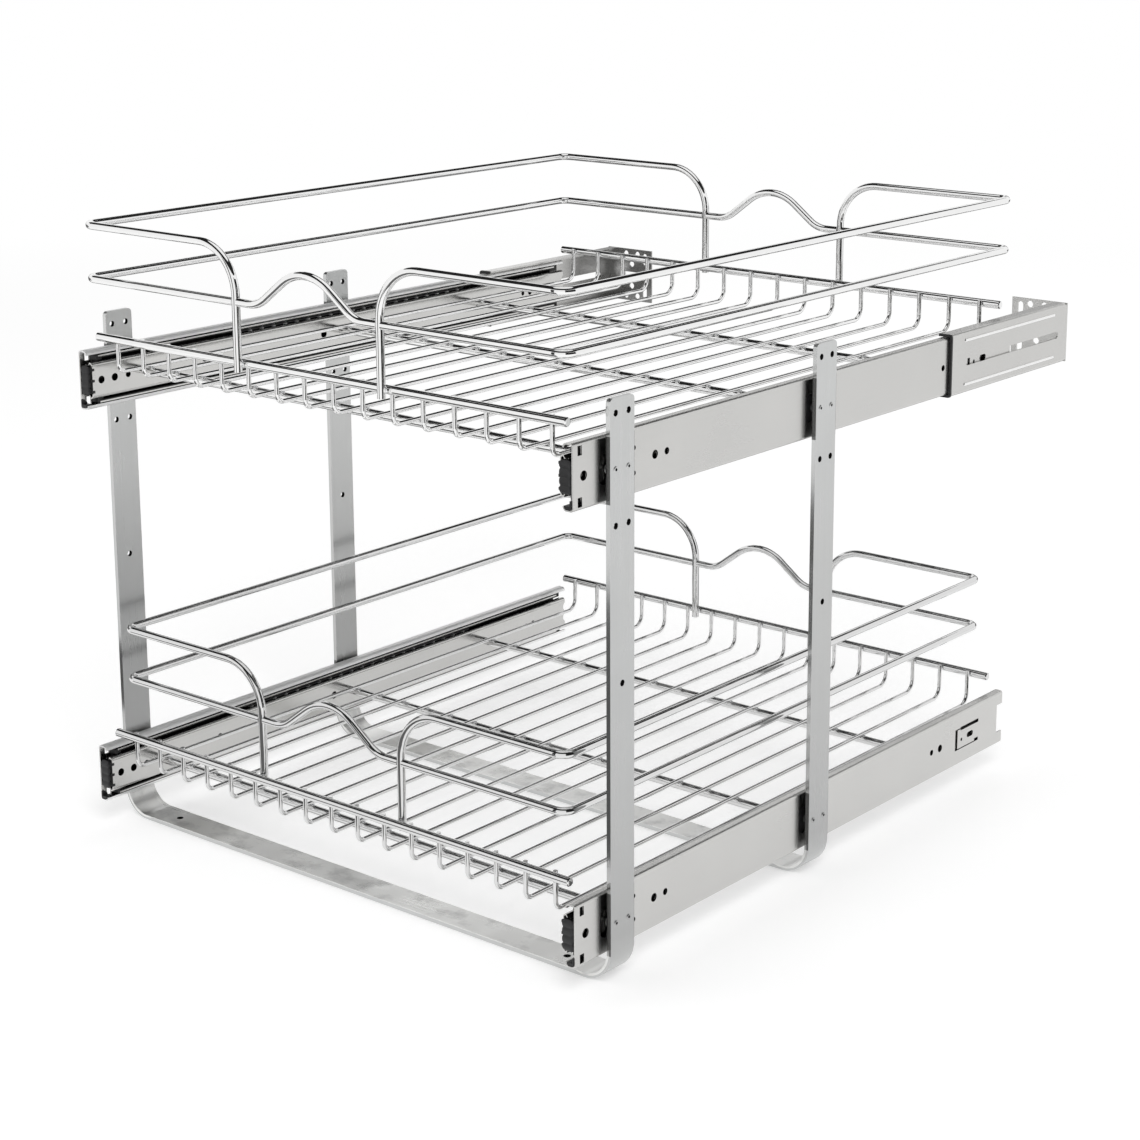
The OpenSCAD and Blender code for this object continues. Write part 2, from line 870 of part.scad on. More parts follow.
module upper_left_inner_cage() { color("dimgray") inner_cage(-1, upper_z); }
module upper_right_inner_cage() { color("dimgray") inner_cage(1, upper_z); }
module lower_left_inner_cage() { color("dimgray") inner_cage(-1, lower_z); }
module lower_right_inner_cage() { color("dimgray") inner_cage(1, lower_z); }

module outer_balls(side, z) {
    color("white")
        ball_rows(side, z, outer_cage_y, outer_ball_s, outer_ball_z);
}

module inner_balls(side, z) {
    color("white")
        ball_rows(side, z, inner_cage_y, inner_ball_s, inner_ball_z);
}

module upper_left_outer_balls() { outer_balls(-1, upper_z); }
module upper_right_outer_balls() { outer_balls(1, upper_z); }
module lower_left_outer_balls() { outer_balls(-1, lower_z); }
module lower_right_outer_balls() { outer_balls(1, lower_z); }

module upper_left_inner_balls() { inner_balls(-1, upper_z); }
module upper_right_inner_balls() { inner_balls(1, upper_z); }
module lower_left_inner_balls() { inner_balls(-1, lower_z); }
module lower_right_inner_balls() { inner_balls(1, lower_z); }

module upper_left_cushion() { color("dimgray") cushion(-1, upper_z); }
module upper_right_cushion() { color("dimgray") cushion(1, upper_z); }
module lower_left_cushion() { color("dimgray") cushion(-1, lower_z); }
module lower_right_cushion() { color("dimgray") cushion(1, lower_z); }

module left_rear_bracket() { color("silver") bracket(-1); }
module right_rear_bracket() { color("silver") bracket(1); }
module left_bracket_sleeve() { color("black") sleeve(-1); }
module right_bracket_sleeve() { color("black") sleeve(1); }

module upper_floor_wires() { color("whitesmoke") floor_wires(upper_z, upper_wires); }
module lower_floor_wires() { color("whitesmoke") floor_wires(lower_z, lower_wires); }

module upper_cross_rods() {
    color("whitesmoke")
        cross_rods(upper_z, concat(cross_rod_ys, [upper_rear_cross_y]));
}

module lower_cross_rods() {
    color("whitesmoke")
        cross_rods(lower_z, concat(cross_rod_ys, [lower_rear_cross_y]));
}

module upper_front_rod() { color("whitesmoke") top_rod(rod_y, upper_z); }
module lower_front_rod() { color("whitesmoke") top_rod(rod_y, lower_z); }
module upper_rear_rod() { color("whitesmoke") top_rod(rod_y + rod_span, upper_z); }
module lower_rear_rod() { color("whitesmoke") top_rod(rod_y + rod_span, lower_z); }

module upper_side_rails() { color("whitesmoke") side_rails(upper_z, 1); }
module lower_side_rails() { color("whitesmoke") side_rails(lower_z, -1); }
module upper_hump_wires() { color("whitesmoke") hump_wires(upper_z, 1); }
module lower_hump_wires() { color("whitesmoke") hump_wires(lower_z, -1); }

module upper_left_top_rail() { color("whitesmoke") top_rail(upper_z, 1); }
module lower_left_top_rail() { color("whitesmoke") top_rail(lower_z, -1); }

module upper_right_top_rail() {
    color("whitesmoke")
        mirror([1, 0, 0])
            top_rail(upper_z, 1);
}

module lower_right_top_rail() {
    color("whitesmoke")
        mirror([1, 0, 0])
            top_rail(lower_z, -1);
}

front_strap();
rear_strap();
strap_rivets();
slide_retainers();
upper_left_outer_member();
upper_right_outer_member();
lower_left_outer_member();
lower_right_outer_member();
upper_left_middle_member();
upper_right_middle_member();
lower_left_middle_member();
lower_right_middle_member();
upper_left_middle_stop();
upper_right_middle_stop();
lower_left_middle_stop();
lower_right_middle_stop();
upper_left_drawer_member();
upper_right_drawer_member();
lower_left_drawer_member();
lower_right_drawer_member();
upper_left_outer_cage();
upper_right_outer_cage();
lower_left_outer_cage();
lower_right_outer_cage();
upper_left_inner_cage();
upper_right_inner_cage();
lower_left_inner_cage();
lower_right_inner_cage();
upper_left_outer_balls();
upper_right_outer_balls();
lower_left_outer_balls();
lower_right_outer_balls();
upper_left_inner_balls();
upper_right_inner_balls();
lower_left_inner_balls();
lower_right_inner_balls();
upper_left_cushion();
upper_right_cushion();
lower_left_cushion();
lower_right_cushion();
left_rear_bracket();
right_rear_bracket();
left_bracket_sleeve();
right_bracket_sleeve();
upper_floor_wires();
upper_cross_rods();
upper_front_rod();
upper_rear_rod();
upper_side_rails();
upper_hump_wires();
upper_left_top_rail();
upper_right_top_rail();
lower_floor_wires();
lower_cross_rods();
lower_front_rod();
lower_rear_rod();
lower_side_rails();
lower_hump_wires();
lower_left_top_rail();
lower_right_top_rail();
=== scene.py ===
import math

import bpy
from mathutils import Matrix, Vector


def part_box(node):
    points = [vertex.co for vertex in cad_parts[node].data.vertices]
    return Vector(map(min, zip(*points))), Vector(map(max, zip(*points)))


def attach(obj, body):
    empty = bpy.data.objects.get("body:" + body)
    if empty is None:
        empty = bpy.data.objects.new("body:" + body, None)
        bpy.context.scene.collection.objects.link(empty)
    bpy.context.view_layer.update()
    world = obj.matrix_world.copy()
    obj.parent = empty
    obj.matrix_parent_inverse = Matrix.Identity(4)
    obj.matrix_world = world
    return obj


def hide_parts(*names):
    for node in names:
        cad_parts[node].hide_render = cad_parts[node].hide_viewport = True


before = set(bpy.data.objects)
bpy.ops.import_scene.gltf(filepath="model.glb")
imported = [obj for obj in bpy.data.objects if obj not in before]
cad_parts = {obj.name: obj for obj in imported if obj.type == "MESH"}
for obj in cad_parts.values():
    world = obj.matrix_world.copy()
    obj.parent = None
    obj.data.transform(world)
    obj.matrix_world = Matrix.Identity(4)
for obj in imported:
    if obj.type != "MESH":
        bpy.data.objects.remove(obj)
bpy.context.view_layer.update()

bl_info = {
    "name": "Pull Out Cabinet Basket",
    "version": (1, 0, 0),
    "blender": (4, 5, 0),
    "location": "View3D > Sidebar > Basket",
    "description": "Finishes and dresses a two level pull out wire basket unit",
    "category": "Object",
}

# ---------- names and sizes, in metres ----------

LEVELS = ("upper", "lower")
SIDES = ("left", "right")
CORNERS = [f"{level}_{side}" for level in LEVELS for side in SIDES]
WIRE_PARTS = ("floor_wires", "cross_rods", "front_rod", "rear_rod", "side_rails",
              "hump_wires", "left_top_rail", "right_top_rail")

# Slides: outer face, ends, centre lines and half height
SLIDE_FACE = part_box("upper_right_outer_member")[1][0]
SLIDE_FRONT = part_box("upper_right_outer_member")[0][1]
SLIDE_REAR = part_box("upper_right_outer_member")[1][1]
SLIDE_HEIGHTS = [sum(corner[2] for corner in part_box(f"{level}_right_outer_member")) / 2
                 for level in LEVELS]
SLIDE_HALF = 0.0228

# Straps: outer face of the legs, half width, thickness, radius of the bends
STRAP_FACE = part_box("front_strap")[1][0]
STRAP_HALF = (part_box("front_strap")[1][1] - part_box("front_strap")[0][1]) / 2
STRAP_MIDDLES = [sum(corner[1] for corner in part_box(f"{end}_strap")) / 2
                 for end in ("front", "rear")]
STRAP_THICKNESS = 0.0034
BEND_RADIUS = 0.024

# Rear brackets: outer face without the pressed ribs, and the rear end
RIB_HEIGHT = 0.0007
BRACKET_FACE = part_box("right_rear_bracket")[1][0] - RIB_HEIGHT
BRACKET_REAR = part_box("right_rear_bracket")[1][1]

# Baskets: wires in each floor, from the front cross rod to the middle one, radii
WIRE_COUNTS = {"upper": 16, "lower": 17}
MIDDLE_ROD = 0.2125
WIRE_RADIUS = 0.0017
ROD_RADIUS = 0.0033
RAIL_RADIUS = 0.003

# A surface no deeper than this still belongs to the face in front of it
SKIN = 0.0002

# Slide sections: depth behind the outer face, and rise from the centre line.
# A race is the depth and rise of its ball and the radius that grease and painted shade cover
# round it.
OUTER_WEB = 0.001
OUTER_FLANGE_DEPTH = 0.0057
OUTER_FLANGE_RISES = (0.01, 0.02175)
OUTER_RACE = (0.0056, 0.01945, 0.0026)
OUTER_HOLE_RISE = 0.0203
OUTER_TOP_RISE = 0.0195
MIDDLE_WEB = (0.0032, 0.0128)
MIDDLE_LIP = (0.0085, 0.0173)
DRAWER_BACK = (0.0116, 0.0105)
DRAWER_RACE = (0.0069, 0.0141, 0.0025)

# Roughness of each finish; the balls are less metallic, so that they show in the dark slides
ROUGH = {"outer": 0.2, "middle": 0.14, "drawer": 0.14, "bracket": 0.2,
         "cage": 0.3, "black": 0.35, "cushion": 0.5}
BALL_METALLIC = 0.15

# Places where a finish, painted light and painted shade change
LOWER_BASKET_TOP = 0.2
LEG_PAINTED_SHADE_TOP = 0.41
LEG_HOLE_HEIGHTS = (0.03, 0.404)
BAR_HALF = 0.21
STRAP_HOLE_HALF = 0.0122
LEG_SHADE_REACH = 0.0052
BRACKET_PAINTED_SHINE = (-0.23, 0.366)

# Tints of greys, and the stretch of the rolling lines across straps and along slides
PLAIN = (1.0, 1.0, 1.0)
COOL = (0.97, 1.0, 1.02)
WARM = (1.0, 1.0, 0.98)
FAINTLY_WARM = (1.0, 1.0, 0.99)
STRAP_LINES = (6.0, 900.0, 6.0)
SLIDE_LINES = (700.0, 5.0, 700.0)
SMEARS = (1.0, 0.15, 1.0)

# Dark cards that only glossy surfaces see: radius, heights, bearings from the front, level.
# The back card and the ceiling ring draw the black line along the tops of rods and wires,
# the others the dark edges of the uprights and the greyer tops of the slides.
BLACK = 0.02
ROUND_CARDS = (
    ("back_card", 3.2, (1.62, 2.3), (100.0, 298.0), BLACK),
    ("horizon_card", 3.3, (0.2, 1.15), (190.0, 219.0), 0.3),
    ("side_card", 1.5, (0.0, 1.1), (52.0, 110.0), BLACK),
    ("far_card", 1.9, (0.0, 0.4), (160.0, 190.0), 0.05),
    ("near_left_card", 1.15, (0.0, 0.9), (346.0, 358.0), 0.05),
    ("left_card", 1.0, (0.14, 0.5), (240.0, 304.0), 0.15),
)
# Cards on the floor: two corners and level
FLAT_CARDS = (
    ("rear_floor_card", (-2.0, 0.45), (0.15, 2.2), 0.2),
    ("front_floor_card", (-0.6, -1.0), (0.15, -0.45), 0.15),
    ("left_floor_card", (-2.0, -0.15), (-0.34, 0.45), 0.2),
)
CARD_LIFT = 0.0006
CARD_FACETS = 72
CEILING_RING = {"radius1": 3.2, "radius2": 1.05, "depth": 0.001, "location": (0.0, 0.1, 2.3)}

# Area lamps: place, watts and side
LAMPS = (
    ("key", (1.8, -1.6, 2.6), 38.0, 1.6),
    ("fill", (-2.4, -1.8, 1.6), 16.0, 2.0),
    ("back", (-0.6, 2.6, 2.2), 16.0, 2.0),
)
LAMP_AIM = Vector((0.0, 0.0, 0.22))

# Floor: how far below the unit, its grey and the white added to it, the distance from which it
# is plain white, and the width over which it gets there
FLOOR_DROP = 0.0002
FLOOR_GREY = 0.76
FLOOR_GLOW = 0.38
FLOOR_END = 3.2
FLOOR_FADE = 2.2
# Level of plain light from the far floor and from the world
FAR_FLOOR_LIGHT = 0.6
WORLD_LIGHT = 0.55

# Width of the camera's sensor in millimetres, and of the photograph in pixels
SENSOR_WIDTH = 36.0
PHOTO_WIDTH = 1140.0


# ---------- materials ----------

class Sock:
    """A shader socket that plain arithmetic can be written on; each step adds a Math node."""

    def __init__(self, tree, socket):
        self.tree = tree
        self.socket = socket

    def math(self, operation, *others):
        node = self.tree.nodes.new("ShaderNodeMath")
        node.operation = operation
        for slot, value in zip(node.inputs, (self, *others)):
            if isinstance(value, Sock):
                self.tree.links.new(value.socket, slot)
            else:
                slot.default_value = value
        return Sock(self.tree, node.outputs[0])

    def __add__(self, other):
        return self.math("ADD", other)

    def __sub__(self, other):
        return self.math("SUBTRACT", other)

    def __mul__(self, other):
        return self.math("MULTIPLY", other)

    def __pow__(self, other):
        return self.math("POWER", other)

    def __rsub__(self, other):
        node = self.tree.nodes.new("ShaderNodeMath")
        node.operation = "SUBTRACT"
        node.inputs[0].default_value = other
        self.tree.links.new(self.socket, node.inputs[1])
        return Sock(self.tree, node.outputs[0])

    __radd__ = __add__
    __rmul__ = __mul__

    def __abs__(self):
        return self.math("ABSOLUTE")

    def above(self, limit):
        return self.math("GREATER_THAN", limit)

    def below(self, limit):
        return self.math("LESS_THAN", limit)

    def between(self, low, high):
        return self.above(low) * self.below(high)

    def lowest(self, other):
        return self.math("MINIMUM", other)

    def highest(self, other):
        return self.math("MAXIMUM", other)

    def clamp(self):
        held = self.math("ADD", 0.0)
        held.socket.node.use_clamp = True
        return held


class Shader:
    """The node tree of one material or world."""

    def __init__(self, owner):
        owner.use_nodes = True
        self.owner = owner
        self.tree = owner.node_tree
        self.tree.nodes.clear()

    def node(self, kind, settings=None, values=None, out=0):
        """Adds a node: its settings first, then the values or links of its sockets."""
        node = self.tree.nodes.new("ShaderNode" + kind)
        for key, value in (settings or {}).items():
            if key == "stops":
                for element, (place, shade) in zip(node.color_ramp.elements, value):
                    element.position = place
                    element.color = (*shade, 1.0)
            else:
                setattr(node, key, value)
        for key, value in (values or {}).items():
            slot = node.inputs[key]
            if isinstance(value, Sock):
                self.tree.links.new(value.socket, slot)
            else:
                slot.default_value = value
        return Sock(self.tree, node.outputs[out]) if len(node.outputs) else None

    def place(self, stretch=(1.0, 1.0, 1.0)):
        """Object coordinates, scaled per axis."""
        coords = self.node("TexCoord", out=3)
        return self.node("Mapping", None, {"Vector": coords, "Scale": stretch})

    def axes(self):
        """The X, Y and Z of the Object coordinates."""
        parts = self.node("SeparateXYZ", None, {"Vector": self.node("TexCoord", out=3)})
        return [Sock(self.tree, out) for out in parts.socket.node.outputs]

    def mix(self, factor, first, second):
        """Goes from the first colour to the second as the factor goes from 0 to 1."""
        values = {0: factor, 6: first, 7: second}
        for key in (6, 7):
            if isinstance(values[key], tuple):
                values[key] = (*values[key], 1.0)
        return self.node("Mix", {"data_type": "RGBA"}, values, out=2)

    def noise(self, where, scale, detail=2.0, rough=0.5):
        return self.node("TexNoise", None, {"Vector": where, "Scale": scale, "Detail": detail,
                                            "Roughness": rough})

    def shade(self, factor, dark, light):
        """A ramp from the dark colour to the light one."""
        return self.node("ValToRGB", {"stops": [(0.0, dark), (1.0, light)]}, {"Fac": factor})

    def bump(self, height, strength, distance):
        return self.node("Bump", None, {"Height": height, "Strength": strength,
                                        "Distance": distance})

    def glow(self, strength):
        """White light of a strength."""
        return self.node("Emission", None, {"Color": (1.0, 1.0, 1.0, 1.0), "Strength": strength})

    def surface(self, values, black=None):
        """Ends the material; black is a mask of dull grease and of painted shade on covered faces
        and the walls of holes.
        """
        shader = self.node("BsdfPrincipled", None, values)
        if black:
            dull = self.node("BsdfDiffuse", None, {"Color": (*grey(0.006), 1.0)})
            shader = self.node("MixShader", None, {0: black, 1: shader, 2: dull})
        return self.end(shader)

    def end(self, shader):
        self.node("OutputMaterial", None, {"Surface": shader})
        return self.owner


def new_shader(name):
    return Shader(bpy.data.materials.new(name))


def grey(level, tint=PLAIN):
    return tuple(level * t for t in tint)


def apart(value, places):
    """How far a coordinate is from the nearer of two places."""
    return abs(value - places[0]).lowest(abs(value - places[1]))


def near_line(a, b, line):
    """1 within the radius of the line at the two given distances."""
    a0, b0, radius = line
    return ((a - a0) ** 2.0 + (b - b0) ** 2.0).below(radius ** 2)


def chrome_material(colour, name="chrome_wire", metallic=1.0):
    """Bright chrome over drawn wire: nearly mirror, with faint clouding and drawing marks."""
    s = new_shader(name)
    cloud = s.noise(s.place(), scale=38.0, detail=3.0)
    marks = s.noise(s.place(), scale=900.0)
    base = s.shade(cloud, grey(colour[0] * 0.92), tuple(colour))
    # The upper basket shades the lower one
    in_shade = s.axes()[2].below(LOWER_BASKET_TOP)
    base = s.mix(in_shade * 0.6, base, grey(colour[0] * 0.68))
    rough = 0.02 + cloud * 0.04 + marks * 0.01
    return s.surface({"Base Color": base, "Metallic": metallic, "Roughness": rough,
                      "Normal": s.bump(marks, strength=0.015, distance=0.0001)})


def strap_material(colour):
    """Zinc plated flat strap: rolling lines, clouded plating, painted shade on its legs and hole
    walls, painted light in its bends.
    """
    s = new_shader("strap_steel")
    x, y, z = s.axes()
    lines = s.noise(s.place(STRAP_LINES), scale=1.0, detail=3.0, rough=0.6)
    cloud = s.noise(s.place(), scale=22.0, detail=3.0)
    cool = s.noise(s.place(), scale=3.0)
    base = s.mix(cool, tuple(colour), grey(colour[0], COOL))
    base = s.mix(lines * 0.3 + cloud * 0.25, base, grey(colour[0] * 0.78, WARM))

    # Painted shade: the legs get darker towards the floor, but not in their bends
    painted_low_shade = ((LEG_PAINTED_SHADE_TOP - z) * 1.7).clamp() * (z * 30.0).clamp()
    base = s.mix(painted_low_shade, base, grey(colour[0] * 0.55))
    # The cut edges are smoother, and where a slide is next to them they get painted shade, a dark
    # reflection of the shaded web
    across = apart(y, STRAP_MIDDLES)
    edge = across.above(STRAP_HALF - SKIN)
    painted_edge_shade = edge * apart(z, SLIDE_HEIGHTS).below(SLIDE_HALF)
    base = s.mix(painted_edge_shade * 0.85, base, grey(0.06))
    base = bend_painted_light(s, x, z, base)

    # Walls of the holes, painted black as shade: what lies between the two faces of the legs and
    # of the floor bar
    leg = abs(x).between(STRAP_FACE - STRAP_THICKNESS + SKIN, STRAP_FACE - SKIN)
    leg = leg * z.between(*LEG_HOLE_HEIGHTS)
    bar = z.between(SKIN, STRAP_THICKNESS - SKIN) * abs(x).below(BAR_HALF)
    hole = (leg + bar) * across.below(STRAP_HOLE_HALF)
    rough = (0.2 + lines * 0.1 + cloud * 0.08) * (1.0 - edge * 0.6)
    return s.surface({"Base Color": base, "Metallic": 1.0, "Roughness": rough,
                      "Normal": s.bump(lines, strength=0.08, distance=0.0002)}, hole)


def bend_painted_light(s, x, z, base):
    """Painted light on the inside of a strap's bends and along its bar, with dark patches of
    painted reflection of the wires above.
    """
    turn = abs(x) - (STRAP_FACE - BEND_RADIUS)
    reach = BEND_RADIUS - STRAP_THICKNESS / 2
    bend = (turn ** 2.0 + (z - BEND_RADIUS) ** 2.0).below(reach ** 2)
    inside = bend.highest(turn.below(0.0) * z.above(0.003))
    # Painted light over the inside of the bends and the top of the bar
    low = ((0.03 - z) * 60.0).clamp() * inside
    base = s.mix(low * 0.75, base, grey(0.92, WARM))
    # Dark patches: a painted reflection of the floor wires above the bar
    patches = s.noise(s.place(), scale=45.0, detail=4.0, rough=0.6)
    return s.mix(low * ((0.5 - patches) * 5.0).clamp() * 0.5, base, grey(0.3))


def sheet_material(name, colour, member):
    """Plated strip steel: rolling lines along the slide, clouded plating, grease and painted
    shade in the races and channels.
    """
    s = new_shader(name)
    lines = s.noise(s.place(SLIDE_LINES), scale=1.0, detail=3.0, rough=0.6)
    cloud = s.noise(s.place(), scale=16.0, detail=4.0)
    base = s.mix(lines * 0.12 + cloud * 0.35, tuple(colour), grey(colour[0] * 0.8, FAINTLY_WARM))
    rough = ROUGH[member] + lines * 0.04 + cloud * 0.08
    x, y, z = s.axes()
    grease_and_shade = None
    if member == "bracket":
        base = bracket_painted_light(s, x, y, z, base)
    else:
        deep = SLIDE_FACE - abs(x)
        rise = apart(z, SLIDE_HEIGHTS)
        if member == "outer":
            grease_and_shade = outer_grease_and_shade(y, deep, rise)
            base, painted_light_top = outer_tones(s, x, y, deep, rise, base)
            rough = rough + painted_light_top * 0.22
        elif member == "middle":
            grease_and_shade = middle_grease_and_shade(deep, rise)
        else:
            # Painted shade on the covered back of the drawer member, with grease round its race
            back = deep.below(DRAWER_BACK[0]) * rise.below(DRAWER_BACK[1])
            grease_and_shade = back.highest(near_line(deep, rise, DRAWER_RACE))
        # The metal shows faintly through the smeared grease and painted shade
        smear = s.noise(s.place(SMEARS), scale=260.0, detail=3.0)
        grease_and_shade = grease_and_shade * (1.0 - smear * 0.12)
    return s.surface({"Base Color": base, "Metallic": 1.0, "Roughness": rough,
                      "Normal": s.bump(lines, strength=0.03, distance=0.0002)}, grease_and_shade)


def bracket_painted_light(s, x, y, z, base):
    """Painted highlights on the crests of the pressed ribs; painted shade on the left bracket's
    inside, with one painted highlight.
    """
    painted_crest_light = abs(x).above(BRACKET_FACE + 0.00045)
    base = s.mix(painted_crest_light * 0.8, base, grey(0.95))
    inner = x.between(0.0004 - BRACKET_FACE, -0.1) * y.below(BRACKET_REAR - 0.0006)
    # Painted shade, deepening towards the rear of the left bracket's inside
    base = s.mix(inner * ((y - 0.2) * 8.0).clamp() * 0.6, base, grey(0.12))
    from_painted_shine = (x - BRACKET_PAINTED_SHINE[0]) ** 2.0 + (z - BRACKET_PAINTED_SHINE[1]) ** 2.0
    painted_shine = (1.0 - from_painted_shine * 8000.0).clamp()
    return s.mix(inner * y.above(BRACKET_REAR - 0.002) * painted_shine * 0.8, base, grey(0.95))


def outer_grease_and_shade(y, deep, rise):
    """Grease and painted shade inside the outer member's flanges, and painted shade on the walls
    of its slots and holes.
    """
    flange = deep.below(OUTER_FLANGE_DEPTH) * rise.between(*OUTER_FLANGE_RISES)
    inside = deep.above(OUTER_WEB + 0.0001) * y.above(SLIDE_FRONT + 0.009)
    grease_and_shade = inside * flange.highest(near_line(deep, rise, OUTER_RACE))
    wall = deep.between(SKIN, OUTER_WEB) * rise.below(OUTER_HOLE_RISE)
    return grease_and_shade.highest(wall * y.between(SLIDE_FRONT + 0.001, SLIDE_REAR - 0.009))


def outer_tones(s, x, y, deep, rise, base):
    """Painted shade on the web beside the legs, and painted light on the tops of the left slides
    with their mask.
    """
    near_leg = (STRAP_HALF + LEG_SHADE_REACH - apart(y, STRAP_MIDDLES)) * 2500.0
    shadow = deep.below(0.0001) * near_leg.clamp()
    base = s.mix(shadow * 0.65, base, grey(0.16))
    # Painted light on the flange tops of the left slides
    painted_light_top = rise.above(OUTER_TOP_RISE) * deep.above(SKIN) * x.below(0.0)
    return s.mix(painted_light_top * 0.85, base, grey(0.95)), painted_light_top


def middle_grease_and_shade(deep, rise):
    """Painted shade with grease on the middle member, but for its lips and the outer side of its
    web.
    """
    web = rise.below(MIDDLE_WEB[1]) * deep.below(MIDDLE_WEB[0])
    return deep.below(MIDDLE_LIP[0]).highest(rise.below(MIDDLE_LIP[1])) * (1.0 - web)


def plastic_material(name, colour, rough):
    """Moulded plastic, slightly clouded, with a fine grain."""
    s = new_shader(name)
    grain = s.noise(s.place(), scale=1400.0)
    cloud = s.noise(s.place(), scale=60.0)
    base = s.shade(cloud, tuple(c * 0.8 for c in colour), tuple(c * 1.15 for c in colour))
    return s.surface({"Base Color": base, "Metallic": 0.0, "Roughness": rough + grain * 0.12,
                      "Normal": s.bump(grain, strength=0.15, distance=0.0002)})


def assign(node, material):
    """Gives a CAD node one material all over."""
    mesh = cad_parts[node].data
    mesh.materials.clear()
    mesh.materials.append(material)


# ---------- new pieces ----------

def start_piece():
    """Object mode with nothing selected."""
    if bpy.context.object and bpy.context.object.mode != "OBJECT":
        bpy.ops.object.mode_set(mode="OBJECT")
    bpy.ops.object.select_all(action="DESELECT")


def pick(piece):
    """Selects one object alone and makes it active."""
    start_piece()
    piece.select_set(True)
    bpy.context.view_layer.objects.active = piece


def edit(select=None):
    """Edit mode with all of the mesh selected, or the vertices that select says yes to."""
    mesh = bpy.context.object.data
    bpy.ops.object.mode_set(mode="EDIT")
    bpy.ops.mesh.select_mode(type="VERT")
    bpy.ops.mesh.select_all(action="DESELECT" if select else "SELECT")
    if select:
        bpy.ops.object.mode_set(mode="OBJECT")
        for vertex in mesh.vertices:
            vertex.select = select(vertex.co)
        bpy.ops.object.mode_set(mode="EDIT")


def settle():
    """Back to object mode, with the object's place put into its mesh."""
    if bpy.context.object.mode != "OBJECT":
        bpy.ops.object.mode_set(mode="OBJECT")
    bpy.ops.object.transform_apply(location=True, rotation=True, scale=True)


def outwards():
    """Turns all faces of the active mesh outwards."""
    edit()
    bpy.ops.mesh.normals_make_consistent(inside=False)
    bpy.ops.object.mode_set(mode="OBJECT")


def soften(levels):
    """Rounds the active mesh with applied subdivision."""
    bpy.ops.object.modifier_add(type="SUBSURF")
    modifier = bpy.context.object.modifiers[-1]
    modifier.levels = modifier.render_levels = levels
    bpy.ops.object.modifier_apply(modifier=modifier.name)


def join(pieces, name):
    """Makes several objects one piece."""
    start_piece()
    for piece in pieces:
        piece.select_set(True)
    bpy.context.view_layer.objects.active = pieces[0]
    bpy.ops.object.join()
    piece = bpy.context.object
    piece.name = name
    return piece


def soft_block(low, high, edge):
    """A block between two corners, with its edges rounded."""
    start_piece()
    bpy.ops.mesh.primitive_cube_add(size=1.0, location=(low + high) / 2)
    bpy.context.object.scale = high - low
    settle()
    edit()
    bpy.ops.mesh.bevel(offset=edge, segments=2, affect="EDGES")
    settle()
    return bpy.context.object


def rib_steps(height, sizes):
    """Heights of a ribbed outline and how far it is drawn in at each."""
    shoulder, shallow = 0.0005, 0.00015
    round_end, groove_half = 0.22, 0.16
    pitch = height / sizes.ribs
    steps = [(0.0, sizes.end_inset), (round_end * pitch, shoulder)]
    for k in range(sizes.ribs):
        steps.append(((k + 0.5) * pitch, 0.0))
        if k < sizes.ribs - 1:
            steps += [((k + 1.0 - groove_half) * pitch, shallow),
                      ((k + 1.0) * pitch, sizes.groove),
                      ((k + 1.0 + groove_half) * pitch, shallow)]
    return steps + [(height - round_end * pitch, shoulder), (height, sizes.end_inset)]


def ribbed_nose(low, high, sizes):
    """Soft ribs, one above the other: a rounded outline drawn up and drawn in between them."""
    size = high - low
    middle = (low + high) / 2
    start_piece()
    bpy.ops.mesh.primitive_plane_add(size=1.0, location=(middle.x, middle.y, low.z))
    bpy.context.object.scale = (size.x, size.y, 1.0)
    settle()
    edit(lambda co: co.x > middle.x and co.y < middle.y)
    bpy.ops.mesh.bevel(offset=sizes.corner, segments=4, affect="VERTICES")
    edit(lambda co: min(abs(co.x - low.x), abs(co.x - high.x))
         + min(abs(co.y - low.y), abs(co.y - high.y)) < 1e-5)
    bpy.ops.mesh.bevel(offset=sizes.edge, segments=3, affect="VERTICES")
    edit()
    here, inset = 0.0, 0.0
    for height, wanted in rib_steps(size.z, sizes):
        if height > 0.0:
            move = {"value": (0.0, 0.0, height - here)}
            bpy.ops.mesh.extrude_region_move(TRANSFORM_OT_translate=move)
        shrink = [(side - 2 * wanted) / (side - 2 * inset) for side in (size.x, size.y)]
        bpy.ops.transform.resize(value=(*shrink, 1.0),
                                 center_override=(middle.x, middle.y, low.z + height))
        here, inset = height, wanted
    settle()
    outwards()
    soften(2)
    return bpy.context.object


def cushion_parts(sizes):
    """The upper right cushion: ribbed nose, block behind the web and hooks round its edge."""
    low, high = (Vector(corner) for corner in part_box("upper_right_cushion"))
    web = Vector(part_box("upper_right_drawer_member")[0])
    middle = (low.z + high.z) / 2
    play = 0.0001
    block_half = 0.0102
    parts = [
        ribbed_nose(Vector((web.x + 0.0013, low.y, low.z)),
                    Vector((high.x, web.y - play, high.z)), sizes),
        soft_block(Vector((web.x + 0.0011, web.y - 0.0003, middle - block_half)),
                   Vector((web.x + 0.0071, high.y - play, middle + block_half)), 0.0005),
    ]
    hook_half, hook_edge = 0.001, 0.0002
    for k in (-1, 0, 1):
        at = middle + k * sizes.hook_pitch
        start = Vector((low.x + play, web.y - 0.001, at - hook_half))
        across = Vector((web.x + 0.002, web.y - play, at + hook_half))
        along = Vector((web.x - 0.00005, web.y + 0.0018, at + hook_half))
        parts.append(soft_block(start, across, hook_edge))
        parts.append(soft_block(start, along, hook_edge))
    return parts


